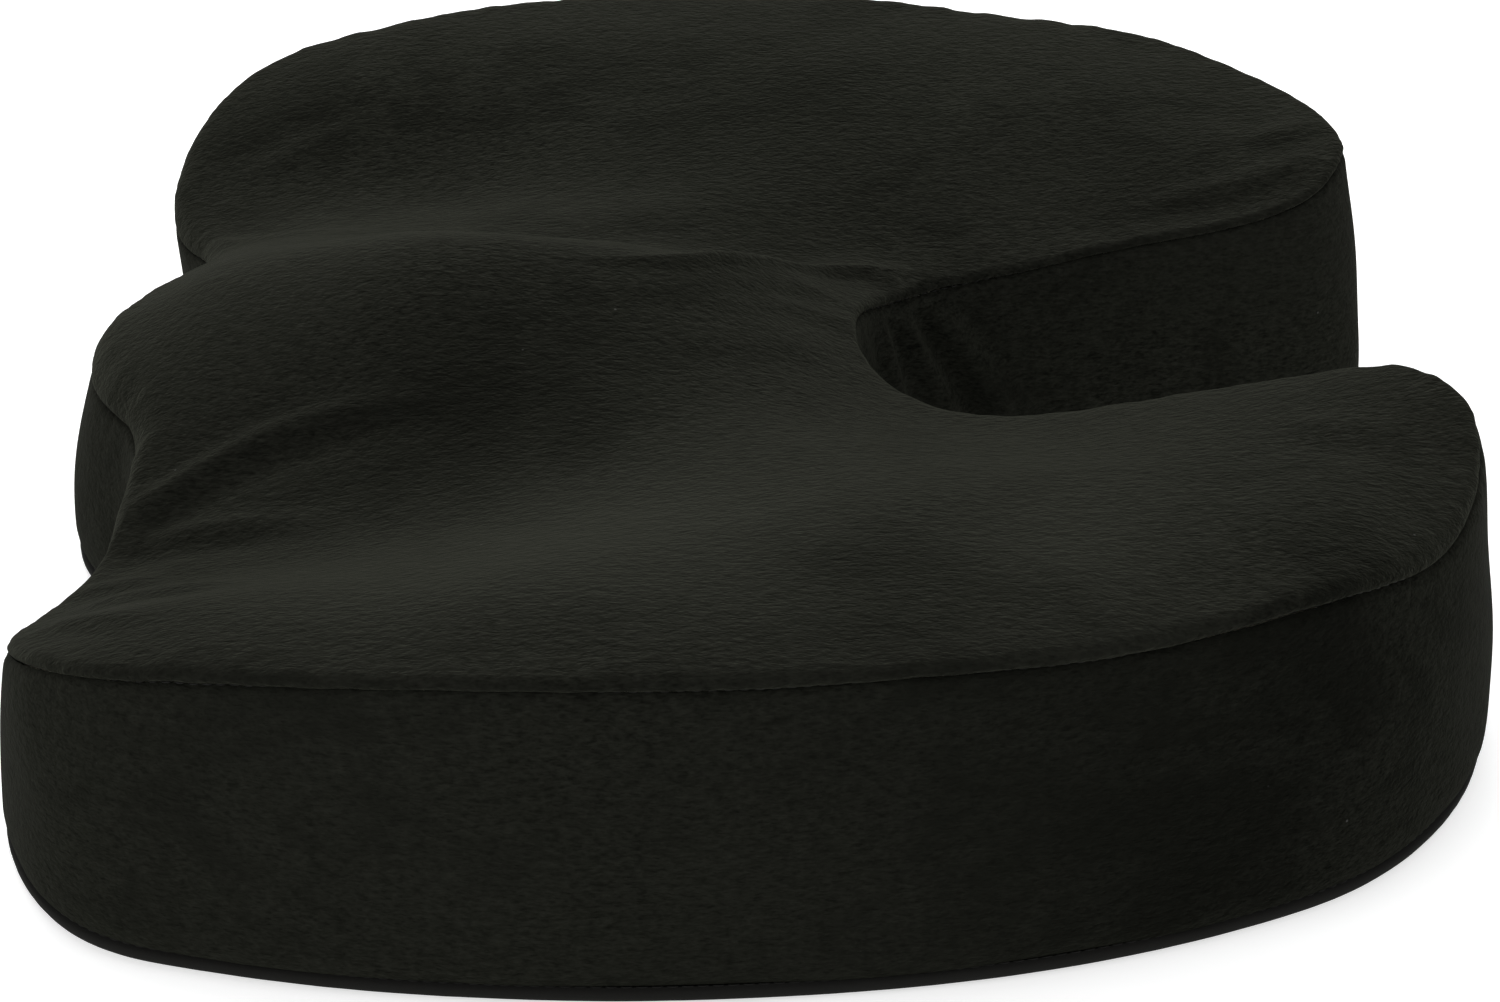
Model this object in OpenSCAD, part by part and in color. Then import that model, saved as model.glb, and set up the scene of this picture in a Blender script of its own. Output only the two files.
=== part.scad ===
// Contoured seat cushion: a moulded foam core in a zipped plush cover.
// Frame: X is the width, -Y the front (thigh) edge, +Y the back edge with the notch, Z up.
// The origin is the middle of the underside. All sizes are millimetres.

/* [Overall] */
// Depth from the front of the pommel to the back of the lobes
depth = 356; // [345:1:367]
// Height of the seat surface above the floor, before its contours
seat_height = 75; // [66:1:84]

/* [Outline seen from above, right half] */
// Radius of the pommel bulge in the front edge
pommel_r = 65; // [60:1:68]
// Radius of the hollow between the pommel and a front lobe
dip_r = 47; // [42:1:52]
// Centre of a front lobe, across
front_lobe_x = 138; // [134:1:141]
// Centre of a front lobe, front to back
front_lobe_y = -102; // [-106:1:-98]
// Radius of a front lobe
front_lobe_r = 67; // [62:1:70]
// Radius of the long side arc
side_r = 300; // [260:5:340]
// Centre of a back lobe, across
back_lobe_x = 88; // [86:1:90]
// Radius of a back lobe
back_lobe_r = 108; // [104:1:112]
// Centre of the corner at the notch's mouth, across
mouth_x = 92; // [90:1:95]
// Radius of the corner at the notch's mouth
mouth_r = 32; // [29:1:34]
// Radius of the notch's rounded front end
notch_r = 48; // [45:1:50]
// Centre of the notch's rounded front end
notch_y = 77; // [74:1:80]

/* [Contour of the seat] */
// Rise towards the side edges
side_rise = 6; // [0:0.5:9]
// Depth of the thigh troughs
trough_depth = 20; // [10:1:24]
// Middle of a thigh trough, across
trough_x = 105; // [95:1:115]
// Half width of a thigh trough
trough_w = 53; // [45:1:60]
// Depth of the dished seat on each side of the notch
bowl_depth = 20; // [12:1:22]
// Middle of the dish, across
bowl_x = 25; // [15:1:35]
// Middle of the dish, front to back
bowl_y = 54; // [45:1:60]
// Half width of the dish
bowl_w = 72; // [65:1:80]
// Half length of the dish
bowl_l = 66; // [60:1:75]
// Height of the pommel ridge
pommel_rise = 16; // [8:1:20]
// Half width of the pommel ridge
ridge_w = 43; // [38:1:50]
// Height of the crest that runs on from the pommel to the notch
crest_rise = 7; // [0:0.5:9]
// Highest place of the pommel ridge
ridge_y = -87; // [-95:1:-75]
// Half length of the pommel ridge
ridge_l = 72; // [60:1:80]
// Drop where the pommel rolls over the front edge
front_roll = 6; // [0:0.5:9]
// Radius of the top edge
edge_r = 7; // [4:0.5:10]

/* [Cover] */
// Thickness of the plush cloth
cloth = 2; // [1.5:0.1:2.5]
// Space between the cover and the foam at the sides
side_ease = 2.2; // [2:0.1:3]
// Thickness of a seam thread
thread_d = 0.9; // [0.6:0.1:1.2]

/* [Grip dots] */
// Diameter of a grip dot
dot_d = 5; // [3:0.5:8]
// Spacing of the grip dots
dot_pitch = 24; // [22:1:40]
// Thickness of a grip dot
dot_h = 1; // [0.6:0.1:1.4]

/* [Zipper] */
// Height of the zipper's middle line above the floor
zip_z = 24; // [20:1:28]
// Width of the open channel between the two strips of cloth
zip_gap = 8; // [7.6:0.2:10]
// Width of one tape
tape_w = 13; // [11:0.5:14]
// Thickness of a tape
tape_t = 0.6; // [0.5:0.05:0.6]
// Diameter of a row of teeth
coil_d = 2; // [1.8:0.1:2]
// Gap between the two rows of teeth
coil_gap = 0.9; // [0.8:0.1:1]
// Length of the slider along the zipper
slider_l = 11; // [9:0.5:13]
// Length of the pull tab
pull_l = 27; // [20:1:32]
// Width of the pull tab
pull_w = 6.4; // [6:0.2:8]

/* [Hidden] */
$fn = 48;

plush = "#2b2c28";
backing = "#1d1d1c";
thread = "#242422";
metal = "#3a3a3c";

seam_gap = 0.1;     // air between two pieces of cloth
core_gap = 0.4;     // air between the foam and the top panel
rim_h = 4;          // height of the bottom panel's turned-up rim
slide_gap = 0.25;   // running clearance round the slider

// ---- outline: tangent arcs, worked out from the driving dimensions ----

// Centre of the circle that lies at distance ra from a and rb from b
function meet(a, ra, b, rb, side) =
    let (v = b - a, d = norm(v), along = (ra * ra - rb * rb + d * d) / (2 * d),
         up = sqrt(max(0, ra * ra - along * along)))
    a + along * v / d + side * up * [-v[1], v[0]] / d;
function heading(v) = atan2(v[1], v[0]);
// The same direction, moved by whole turns to lie past the start
function after(a, start) = a < start ? after(a + 360, start) : a;

pommel_c = [0, pommel_r - depth / 2];
front_c = [front_lobe_x, front_lobe_y];
mouth_c = [mouth_x, depth / 2 - mouth_r];
back_c = [back_lobe_x,
    mouth_c[1] - sqrt(pow(back_lobe_r - mouth_r, 2) - pow(mouth_x - back_lobe_x, 2))];
notch_c = [0, notch_y];
dip_c = meet(pommel_c, pommel_r + dip_r, front_c, front_lobe_r + dip_r, -1);
side_c = meet(front_c, side_r - front_lobe_r, back_c, side_r - back_lobe_r, 1);

// Directions in which one arc hands over to the next
a_pommel = heading(dip_c - pommel_c);
a_dip_in = heading(pommel_c - dip_c);
a_dip_out = heading(front_c - dip_c);
a_front = heading(dip_c - front_c);
a_side_0 = heading(front_c - side_c);
a_side_1 = heading(back_c - side_c);
a_back = heading(mouth_c - back_c);
// The straight wall crosses from the mouth's circle to the notch's circle
to_notch = notch_c - mouth_c;
a_wall = after(heading(to_notch) - acos((mouth_r + notch_r) / norm(to_notch)), a_back);

function arc(c, r, a0, a1, n, skip = 1) =
    [for (i = [skip:n]) let (a = a0 + (a1 - a0) * i / n) c + r * [cos(a), sin(a)]];

// Stretches of the right half in anticlockwise order, moved inwards by inset
function front_run(inset) = concat(
    arc(pommel_c, pommel_r - inset, -90, a_pommel, 8, 0),
    arc(dip_c, dip_r + inset, a_dip_in, a_dip_out, 9),
    arc(front_c, front_lobe_r - inset, a_front, a_side_0, 14));
function side_run(inset) = arc(side_c, side_r - inset, a_side_0, a_side_1, 24);
function back_run(inset) = concat(
    arc(back_c, back_lobe_r - inset, a_side_1, a_back, 18),
    arc(mouth_c, mouth_r - inset, a_back, 90, 1));
function notch_run(inset) = concat(
    arc(mouth_c, mouth_r - inset, 90, a_wall, 12),
    arc(notch_c, notch_r + inset, a_wall - 180, -90, 12, 0));

function last(run) = run[len(run) - 1];
function rest(run) = [for (i = [1:len(run) - 1]) run[i]];
function flip(p) = [-p[0], p[1]];
function reversed(run) = [for (i = [len(run) - 1:-1:0]) run[i]];
function flipped(run) = [for (p = reversed(run)) flip(p)];
function outer_run(inset) = concat(front_run(inset), side_run(inset), back_run(inset));
function right_half(inset) = concat(outer_run(inset), notch_run(inset));
function outline(inset = 0) =
    let (half = right_half(inset), n = len(half))
    concat(half, [for (i = [n - 2:-1:1]) flip(half[i])]);

side_x = side_c[0] + side_r;    // half the width of the cushion

// Everything but the left side arc, from its front end round to its rear end
function band_run(inset) = concat(
    flipped(front_run(inset)),
    rest(right_half(inset)),
    rest(flipped(concat([last(side_run(inset))], back_run(inset), notch_run(inset)))));
// The left side arc, from its rear end to its front end
function zip_run(inset) = flipped(concat([last(front_run(inset))], side_run(inset)));

// ---- contour of the seat ----

function ramp(a, b, v) = let (t = min(1, max(0, (v - a) / (b - a)))) t * t * (3 - 2 * t);
function bell(v) = exp(-v * v);
end_fall = 6;       // fall of the surface towards the front and back edges
back_rise = 11;     // how much higher the back edge ends than the front edge, halved
crest_w = 28;       // half width of the crest behind the pommel
crest_y = -8;       // its middle, front to back
crest_l = 34;       // its half length
roll_w = 60;        // half width of the roll over the front edge
roll_l = 30;        // half length of that roll
trough_from = -40;  // the troughs grow from this distance in front of the middle
trough_to = 110;    // to their full depth at this distance
// Height of the top of the cover, before its edge is rounded
function seat_z(p) =
    let (across = abs(p[0]), along = p[1] / (depth / 2))
    seat_height - end_fall * pow(along, 2) + back_rise * pow(along, 3)
    + side_rise * pow(across / side_x, 2)
    - trough_depth * bell((across - trough_x) / trough_w) * ramp(trough_from, trough_to, -p[1])
    - bowl_depth * bell((across - bowl_x) / bowl_w) * bell((p[1] - bowl_y) / bowl_l)
    + pommel_rise * bell(across / ridge_w) * bell((p[1] - ridge_y) / ridge_l)
    + crest_rise * bell(across / crest_w) * bell((p[1] - crest_y) / crest_l)
    - front_roll * bell(across / roll_w) * bell((p[1] + depth / 2) / roll_l);
// Height of the seam where the top panel meets the band
function seam_z(p) = seat_z(p) - edge_r;
// Height of the top edge of the band
function band_top(p) = seam_z(p) - cloth - seam_gap;

// ---- a sheet of cells that fills one half outline and its mirror image ----

stations = 56;      // cells along a half
mid_rows = 7;       // cells across the flat part of a half
bend = 0.3;         // where the rounded edge bends, as a share of its width
bend_drop = 0.286;  // how far it has come down there, as a share of edge_r
edge_share = 0.45;  // widest rounded edge, as a share of the space between notch and outer edge

function lengths(run) =
    [for (i = 0, s = 0; i < len(run); s = s + (i + 1 < len(run) ? norm(run[i + 1] - run[i]) : 0),
          i = i + 1) s];
// Points at even distances along a run
function walk(run) =
    let (s = lengths(run), total = last(s),
         xs = [for (i = [0:len(run) - 1]) [s[i], run[i][0]]],
         ys = [for (i = [0:len(run) - 1]) [s[i], run[i][1]]])
    [for (i = [0:stations]) [lookup(total * i / stations, xs), lookup(total * i / stations, ys)]];

// Each row: edge steps taken at the inner side, share of the middle, edge steps at the outer side, drop
rows = concat(
    [[0, 0, 0, 1], [bend, 0, 0, bend_drop]],
    [for (k = [0:mid_rows]) [1, k / mid_rows, 0, 0]],
    [[1, 1, 1 - bend, bend_drop], [1, 1, 1, 1]]);
row_n = len(rows);

// Columns of points from the notch to the outer edge; the last column shrinks to the lobe's tip
function sheet(inset) =
    let (outer = walk(outer_run(inset)),
         inner = walk(concat(reversed(notch_run(inset)), [last(outer_run(inset))])))
    [for (i = [0:stations - 1])
        let (span = norm(outer[i] - inner[i]), step = min(edge_r, edge_share * span))
        [for (r = rows)
            let (v = ((r[0] + r[2]) * step + r[1] * (span - 2 * step)) / span,
                 p = inner[i] + v * (outer[i] - inner[i]))
            [p[0], p[1], r[3]]]];
function mirror_sheet(half) = concat(
    [for (i = [stations - 1:-1:1]) [for (p = half[i]) [-p[0], p[1], p[2]]]], half);

// A slab between two heights over the sheet; flat_low makes its underside a plane
module slab(inset, raise, thick, flat_low = false, low = 0) {
    half = sheet(inset);
    cols = mirror_sheet(half);
    n = len(cols);
    tip = last(outer_run(inset));
    function high(p, drop) = seat_z(p) - edge_r * drop - raise;
    function under(p, drop) = flat_low ? low : high(p, drop) - thick;
    tops = concat(
        [for (c = cols) for (p = c) [p[0], p[1], high(p, p[2])]],
        [[-tip[0], tip[1], high(tip, 1)], [tip[0], tip[1], high(tip, 1)]]);
    bottoms = concat(
        [for (c = cols) for (p = c) [p[0], p[1], under(p, p[2])]],
        [[-tip[0], tip[1], under(tip, 1)], [tip[0], tip[1], under(tip, 1)]]);
    m = len(tops);
    left = m - 2;
    right = m - 1;
    // Triangles of the upper sheet, clockwise from above
    upper = concat(
        [for (i = [0:n - 2]) for (k = [0:row_n - 2])
            let (a = i * row_n + k, b = a + 1, c = a + row_n, d = c + 1)
            each [[a, c, d], [a, d, b]]],
        [for (k = [0:row_n - 2]) [left, k, k + 1]],
        [for (k = [0:row_n - 2]) let (a = (n - 1) * row_n + k) [a, right, a + 1]]);
    // The rim runs along the notch, round the right tip and back along the outer edge
    rim = concat(
        [left], [for (i = [0:n - 1]) i * row_n], [right],
        [for (i = [n - 1:-1:0]) i * row_n + row_n - 1]);
    side = [for (i = [0:len(rim) - 1])
        let (a = rim[i], b = rim[(i + 1) % len(rim)])
        each [[a, a + m, b + m], [a, b + m, b]]];
    polyhedron(
        concat(tops, bottoms),
        concat(upper, [for (f = upper) [f[0] + m, f[2] + m, f[1] + m]], side),
        convexity = 8);
}

// ---- a wall of constant thickness along a run ----

module wall_strip(outer, inner, low, high, closed = false) {
    n = len(outer);
    points = [for (i = [0:n - 1]) each [
        [outer[i][0], outer[i][1], low[i]], [outer[i][0], outer[i][1], high[i]],
        [inner[i][0], inner[i][1], high[i]], [inner[i][0], inner[i][1], low[i]]]];
    sides = [for (i = [0:(closed ? n - 1 : n - 2)]) for (k = [0:3])
        let (a = 4 * i + k, b = 4 * i + (k + 1) % 4,
             c = 4 * ((i + 1) % n) + k, d = 4 * ((i + 1) % n) + (k + 1) % 4)
        each [[a, b, d], [a, d, c]]];
    caps = closed ? [] : [[3, 2, 1, 0], [4 * n - 4, 4 * n - 3, 4 * n - 2, 4 * n - 1]];
    polyhedron(points, concat(sides, caps), convexity = 8);
}
function level(run, z) = [for (p = run) z];

// ---- cover ----

module foam_core() {
    color("#d8d2c0")
        slab(cloth + side_ease, cloth + core_gap, 0, true, cloth + seam_gap);
}

module cover_top() {
    color(plush) slab(0, 0, cloth);
}

module side_band() {
    run = band_run(0);
    color(plush)
        wall_strip(run, band_run(cloth), level(run, rim_h), [for (p = run) band_top(p)]);
}

module zipper_band_upper() {
    run = zip_run(0);
    color(plush)
        wall_strip(run, zip_run(cloth), level(run, zip_z + zip_gap / 2), [for (p = run) band_top(p)]);
}

module zipper_band_lower() {
    run = zip_run(0);
    color(plush)
        wall_strip(run, zip_run(cloth), level(run, rim_h), level(run, zip_z - zip_gap / 2));
}

module cover_bottom() {
    color(backing) {
        linear_extrude(cloth) polygon(outline(0));
        linear_extrude(rim_h) difference() {
            polygon(outline(0));
            polygon(outline(cloth));
        }
    }
}

// True when a point lies inside a closed outline
function inside(p, ring) =
    let (n = len(ring), hits = [for (i = [0:n - 1])
        let (a = ring[i], b = ring[(i + 1) % n])
        if ((a[1] > p[1]) != (b[1] > p[1])
            && p[0] < a[0] + (p[1] - a[1]) * (b[0] - a[0]) / (b[1] - a[1])) 1])
    len(hits) % 2 == 1;

module grip_dots() {
    dot_margin = 4;     // bare cloth between the outermost dots and the edge
    half_span = 240;    // more than half the width, so that the rows reach both edges
    ring = outline(dot_d + dot_margin);
    row_gap = dot_pitch * sin(60);
    row_count = ceil(depth / 2 / row_gap);
    col_count = ceil(half_span / dot_pitch);
    color("#4a4a48")
        for (r = [-row_count:row_count], c = [-col_count:col_count]) {
            p = [(c + (r % 2 == 0 ? 0 : 0.5)) * dot_pitch, r * row_gap];
            if (inside(p, ring)) translate([p[0], p[1], 0]) cylinder(h = dot_h, d = dot_d);
        }
}

// The seam threads lie behind the cloth, along the fold of each seam
module top_seam_thread() {
    run = outline(cloth);
    color(thread)
        wall_strip(run, outline(cloth + thread_d),
            [for (p = outline(0)) band_top(p) - thread_d], [for (p = outline(0)) band_top(p)], true);
}

module bottom_seam_thread() {
    color(thread)
        translate([0, 0, rim_h]) linear_extrude(thread_d) difference() {
            polygon(outline(cloth));
            polygon(outline(cloth + thread_d));
        }
}

// ---- zipper, along the left side arc ----

hub = flip(side_c);             // centre of the left side arc
zip_rear = 180 - a_side_1;      // direction of the arc's rear end
zip_front = 180 - a_side_0;     // direction of its front end
function turn(length) = length / side_r * 180 / PI;

tape_r = side_r - cloth - seam_gap;     // outer face of the tapes
coil_r = tape_r + coil_d / 2;           // middle of the teeth
coil_z = (coil_gap + coil_d) / 2;       // teeth above and below the middle line
end_len = 4;                            // from the end of the strips to a stop
tape_end = 1.5;                         // from the end of the strips to the end of a tape
stitch_end = 3;                         // from the end of the strips to the first stitch
stop_len = 3;                           // room for a stop
stop_gap = 0.4;                         // air between a stop and the teeth
chain_rear = zip_rear + turn(end_len);
chain_front = zip_front - turn(end_len);

// Sweeps a section (distance from the hub, height above the middle line) between two directions
module sweep(from, to) {
    translate([hub[0], hub[1], zip_z]) rotate([0, 0, from])
        rotate_extrude(angle = to - from, $fn = 360) children();
}

module band_seam_threads() {
    color(thread)
        for (end = [0, 1]) {
            p = end == 0 ? zip_run(0)[0] : last(zip_run(0));
            translate([hub[0], hub[1], 0]) rotate([0, 0, end == 0 ? zip_rear : zip_front])
                translate([side_r - cloth - thread_d - seam_gap, -thread_d / 2, rim_h + 2 * thread_d])
                    cube([thread_d, thread_d, band_top(p) - rim_h - 4 * thread_d]);
        }
}

module tape(up) {
    low = up > 0 ? coil_gap / 2 : -coil_gap / 2 - tape_w;
    sweep(zip_rear + turn(tape_end), zip_front - turn(tape_end))
        translate([tape_r - tape_t, low]) square([tape_t, tape_w]);
}
module zipper_tape_upper() { color("#20201f") tape(1); }
module zipper_tape_lower() { color("#20201f") tape(-1); }

module coil(up) {
    sweep(chain_rear + turn(stop_len), chain_front - turn(stop_len))
        translate([coil_r, up * coil_z]) circle(d = coil_d, $fn = 24);
}
module zipper_coil_upper() { color("#262626") coil(1); }
module zipper_coil_lower() { color("#262626") coil(-1); }

module zipper_stitching() {
    stitch_z = zip_gap / 2 + 2.5;   // height above the middle line
    stitch_t = 0.4;
    stitch_w = 0.5;
    color(thread)
        for (up = [-1, 1])
            sweep(zip_rear + turn(stitch_end), zip_front - turn(stitch_end))
                translate([tape_r - tape_t - stitch_t, up * stitch_z - stitch_w / 2])
                    square([stitch_t, stitch_w]);
}

stop_t = coil_d - 0.2;                  // a stop stands a little lower than the teeth

module zipper_top_stops() {
    color(metal)
        for (up = [-1, 1])
            sweep(chain_rear, chain_rear + turn(stop_len - stop_gap))
                translate([tape_r, up * coil_z - coil_d / 2]) square([stop_t, coil_d]);
}

module zipper_bottom_stop() {
    color(metal)
        sweep(chain_front - turn(stop_len - stop_gap), chain_front)
            translate([tape_r, -coil_z - coil_d / 2]) square([stop_t, 2 * coil_z + coil_d]);
}

// Slider: outer plate with two side flanges, inner plate, and a thin post between the rows of teeth
plate_t = 1.2;          // outer plate
back_t = 0.8;           // inner plate
flange_t = 0.8;
post_l = 3;             // post, along the zipper
weld = 0.1;             // overlap of one bit of the slider with the next
park_gap = 0.6;         // from the slider, at rest, to the top stops' end of the teeth
slider_in = coil_z + coil_d / 2 + slide_gap;
slider_half = slider_in + flange_t;
plate_r = coil_r + coil_d / 2 + slide_gap;
back_plate_r = tape_r - tape_t - slide_gap;
slider_a = chain_rear + turn(stop_len + park_gap + slider_l / 2);

// Bridge over the slider, with the bore for the pull's bar
bridge_w = 3;
bridge_l = 5;
bridge_sink = 0.3;      // how deep the bridge's foot lies above the plate's inner face
bridge_over = 1.3;      // metal of the bridge beyond the bar's middle
bar_r = 0.8;
bore_r = 0.86;
bar_at = plate_r + plate_t + 1.5;

// Puts children at a direction on the left arc: X outwards, Y along the zipper to the front, Z up
module at_zip(a) {
    translate([hub[0], hub[1], zip_z]) rotate([0, 0, a]) children();
}

module zipper_slider() {
    half = turn(slider_l / 2);
    color(metal) {
        sweep(slider_a - half, slider_a + half) {
            translate([plate_r, -slider_half]) square([plate_t, 2 * slider_half]);
            for (up = [-1, 1])
                translate([tape_r + slide_gap, up * (slider_in + flange_t / 2) - flange_t / 2])
                    square([plate_r - tape_r - slide_gap + weld, flange_t]);
            translate([back_plate_r - back_t, -slider_half]) square([back_t, 2 * slider_half]);
        }
        sweep(slider_a - half, slider_a - half + turn(post_l))
            translate([back_plate_r - weld, -coil_gap / 2 + slide_gap])
                square([plate_r - back_plate_r + 2 * weld, coil_gap - 2 * slide_gap]);
        at_zip(slider_a) difference() {
            translate([plate_r + bridge_sink, -bridge_l / 2, -bridge_w / 2])
                cube([bar_at - plate_r + bridge_over, bridge_l, bridge_w]);
            translate([bar_at, 0, -bridge_w]) cylinder(h = 2 * bridge_w, r = bore_r);
        }
    }
}

module zipper_pull() {
    leg_gap = 0.3;                      // air between a leg and the bridge
    leg_in = bridge_w / 2 + leg_gap;
    leg_w = pull_w / 2 - leg_in;
    tab_t = 1.2;                        // thickness of the tab
    neck = 5;                           // length of the two legs
    leg_over = 0.5;                     // overlap of a leg with the tab
    hole_back = 1;                      // from the middle of the round end to the hole
    color(metal) at_zip(slider_a) translate([bar_at, 0, 0]) difference() {
        union() {
            translate([0, 0, -pull_w / 2]) cylinder(h = pull_w, r = bar_r);
            for (up = [-1, 1])
                translate([-tab_t / 2, 0, up * (leg_in + leg_w / 2) - leg_w / 2])
                    cube([tab_t, neck + leg_over, leg_w]);
            translate([-tab_t / 2, neck, -pull_w / 2])
                cube([tab_t, pull_l - neck - pull_w / 2, pull_w]);
            translate([-tab_t / 2, pull_l - pull_w / 2, 0]) rotate([0, 90, 0])
                cylinder(h = tab_t, d = pull_w);
        }
        translate([-tab_t, pull_l - pull_w / 2 - hole_back, 0]) rotate([0, 90, 0])
            cylinder(h = 2 * tab_t, d = pull_w / 2);
    }
}

foam_core();
cover_top();
side_band();
zipper_band_upper();
zipper_band_lower();
cover_bottom();
grip_dots();
top_seam_thread();
bottom_seam_thread();
band_seam_threads();
zipper_tape_upper();
zipper_tape_lower();
zipper_coil_upper();
zipper_coil_lower();
zipper_slider();
zipper_pull();
zipper_top_stops();
zipper_bottom_stop();
zipper_stitching();
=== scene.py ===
"""Looks for the contoured seat cushion: its plush cover, foam, seams, zipper and grip dots."""

import bpy
import numpy as np
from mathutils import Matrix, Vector
from mathutils.geometry import delaunay_2d_cdt


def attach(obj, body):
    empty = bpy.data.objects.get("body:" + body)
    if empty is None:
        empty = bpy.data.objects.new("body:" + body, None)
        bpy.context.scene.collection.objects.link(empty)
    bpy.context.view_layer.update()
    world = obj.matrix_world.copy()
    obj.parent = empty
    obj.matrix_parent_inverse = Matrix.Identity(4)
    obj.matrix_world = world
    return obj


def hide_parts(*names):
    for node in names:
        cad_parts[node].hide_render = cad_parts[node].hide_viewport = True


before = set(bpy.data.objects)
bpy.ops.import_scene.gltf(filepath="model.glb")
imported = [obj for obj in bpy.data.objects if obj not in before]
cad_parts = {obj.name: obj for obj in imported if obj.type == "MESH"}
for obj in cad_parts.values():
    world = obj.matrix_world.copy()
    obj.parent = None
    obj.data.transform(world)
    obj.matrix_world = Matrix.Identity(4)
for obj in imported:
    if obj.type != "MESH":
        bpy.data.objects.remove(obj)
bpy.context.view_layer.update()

MM = 0.001  # the geometry below is worked out in millimetres

# ---------------------------------------------------------------- plan outline
# The driving sizes of the CAD outline: radii, and the centres that are given
DEPTH = 356.0
POMMEL_R = 65.0
DIP_R = 47.0
LOBE_C, LOBE_R = np.array([138.0, -102.0]), 67.0
SIDE_R = 300.0
BACK_X, BACK_R = 88.0, 108.0
MOUTH_X, MOUTH_R = 92.0, 32.0
NOTCH_C, NOTCH_R = np.array([0.0, 77.0]), 48.0
STEP = 1.7  # spacing of the outline's samples


def meet(a, ra, b, rb, side):
    """Centre of the circle at distance ra from a and rb from b."""
    v = b - a
    d = np.hypot(*v)
    along = (ra * ra - rb * rb + d * d) / (2 * d)
    up = np.sqrt(max(0, ra * ra - along * along))
    return a + along * v / d + side * up * np.array([-v[1], v[0]]) / d


def heading(v):
    """The direction of v in degrees."""
    return np.degrees(np.arctan2(v[1], v[0]))


POMMEL_C = np.array([0.0, POMMEL_R - DEPTH / 2])
MOUTH_C = np.array([MOUTH_X, DEPTH / 2 - MOUTH_R])
BACK_C = np.array([BACK_X, MOUTH_C[1] - np.sqrt((BACK_R - MOUTH_R) ** 2 - (MOUTH_X - BACK_X) ** 2)])
DIP_C = meet(POMMEL_C, POMMEL_R + DIP_R, LOBE_C, LOBE_R + DIP_R, -1)
SIDE_C = meet(LOBE_C, SIDE_R - LOBE_R, BACK_C, SIDE_R - BACK_R, 1)
HALF_W = SIDE_C[0] + SIDE_R

A_POMMEL = heading(DIP_C - POMMEL_C)
A_SIDE_0 = heading(LOBE_C - SIDE_C)
A_SIDE_1 = heading(BACK_C - SIDE_C)
A_BACK = heading(MOUTH_C - BACK_C)
to_notch = NOTCH_C - MOUTH_C
A_WALL = heading(to_notch) - np.degrees(np.arccos((MOUTH_R + NOTCH_R) / np.hypot(*to_notch)))
A_WALL = A_WALL % 360


def bow(c, r, a0, a1, hollow=False):
    """Samples of an arc with the cushion's outward direction, last point left out."""
    n = max(2, int(round(abs(np.radians(a1 - a0)) * r / STEP)))
    a = np.radians(np.linspace(a0, a1, n + 1))[:-1]
    u = np.stack([np.cos(a), np.sin(a)], 1)
    return c + r * u, (-u if hollow else u)


def outline():
    """The outline anticlockwise from the pommel's middle, its outward directions, the notch's column."""
    u_wall = np.array([np.cos(np.radians(A_WALL)), np.sin(np.radians(A_WALL))])
    w0, w1 = MOUTH_C + MOUTH_R * u_wall, NOTCH_C - NOTCH_R * u_wall
    n = int(round(np.hypot(*(w1 - w0)) / STEP))
    t = np.linspace(0, 1, n + 1)[:-1, None]
    runs = [
        bow(POMMEL_C, POMMEL_R, -90, A_POMMEL),
        bow(DIP_C, DIP_R, heading(POMMEL_C - DIP_C), heading(LOBE_C - DIP_C), True),
        bow(LOBE_C, LOBE_R, heading(DIP_C - LOBE_C), A_SIDE_0),
        bow(SIDE_C, SIDE_R, A_SIDE_0, A_SIDE_1),
        bow(BACK_C, BACK_R, A_SIDE_1, A_BACK),
        bow(MOUTH_C, MOUTH_R, A_BACK, A_WALL),
        (w0 + t * (w1 - w0), np.repeat(u_wall[None], n, 0)),
        bow(NOTCH_C, NOTCH_R, A_WALL - 180, -90, True),
        (np.array([[0.0, NOTCH_C[1] - NOTCH_R]]), np.array([[0.0, 1.0]])),
    ]
    p = np.concatenate([r[0] for r in runs])
    d = np.concatenate([r[1] for r in runs])
    mir = np.array([-1.0, 1.0])
    return (np.concatenate([p, (p * mir)[-2:0:-1]]),
            np.concatenate([d, (d * mir)[-2:0:-1]]), len(p) - 1)


P, N, I_NOTCH = outline()
COLS = len(P)
gaps = np.hypot(*(np.roll(P, -1, 0) - P).T)
ARC = np.concatenate([[0], np.cumsum(gaps)[:-1]])  # way along the outline
GIRTH = gaps.sum()


# ---------------------------------------------------------------- small maths
def ramp(a, b, v):
    """0 up to a, 1 from b on, and a smooth rise between."""
    t = np.clip((v - a) / (b - a), 0, 1)
    return t * t * (3 - 2 * t)


def bell(v):
    return np.exp(-v * v)


def dabs(marks, x, y):
    """A sum of soft round marks, each with its height, place (x, y) and reach (x, y)."""
    return sum(k * bell((x - px) / rx) * bell((y - py) / ry) for k, px, py, rx, ry in marks)


class Waves:
    """A smooth random field: a sum of plane waves of about one wavelength."""

    def __init__(self, seed, size, dims=2, count=28, stretch=None):
        rng = np.random.default_rng(seed)
        k = rng.normal(size=(count, dims))
        k /= np.linalg.norm(k, axis=1, keepdims=True)
        k *= 2 * np.pi / (size * rng.uniform(0.7, 1.5, (count, 1)))
        self.k = k if stretch is None else k / np.asarray(stretch)
        self.ph = rng.uniform(0, 2 * np.pi, count)
        self.scale = np.sqrt(2.0 / count)

    def __call__(self, *xs):
        q = np.stack([np.asarray(x, float) for x in xs], -1)
        return np.cos(q @ self.k.T + self.ph).sum(-1) * self.scale


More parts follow.
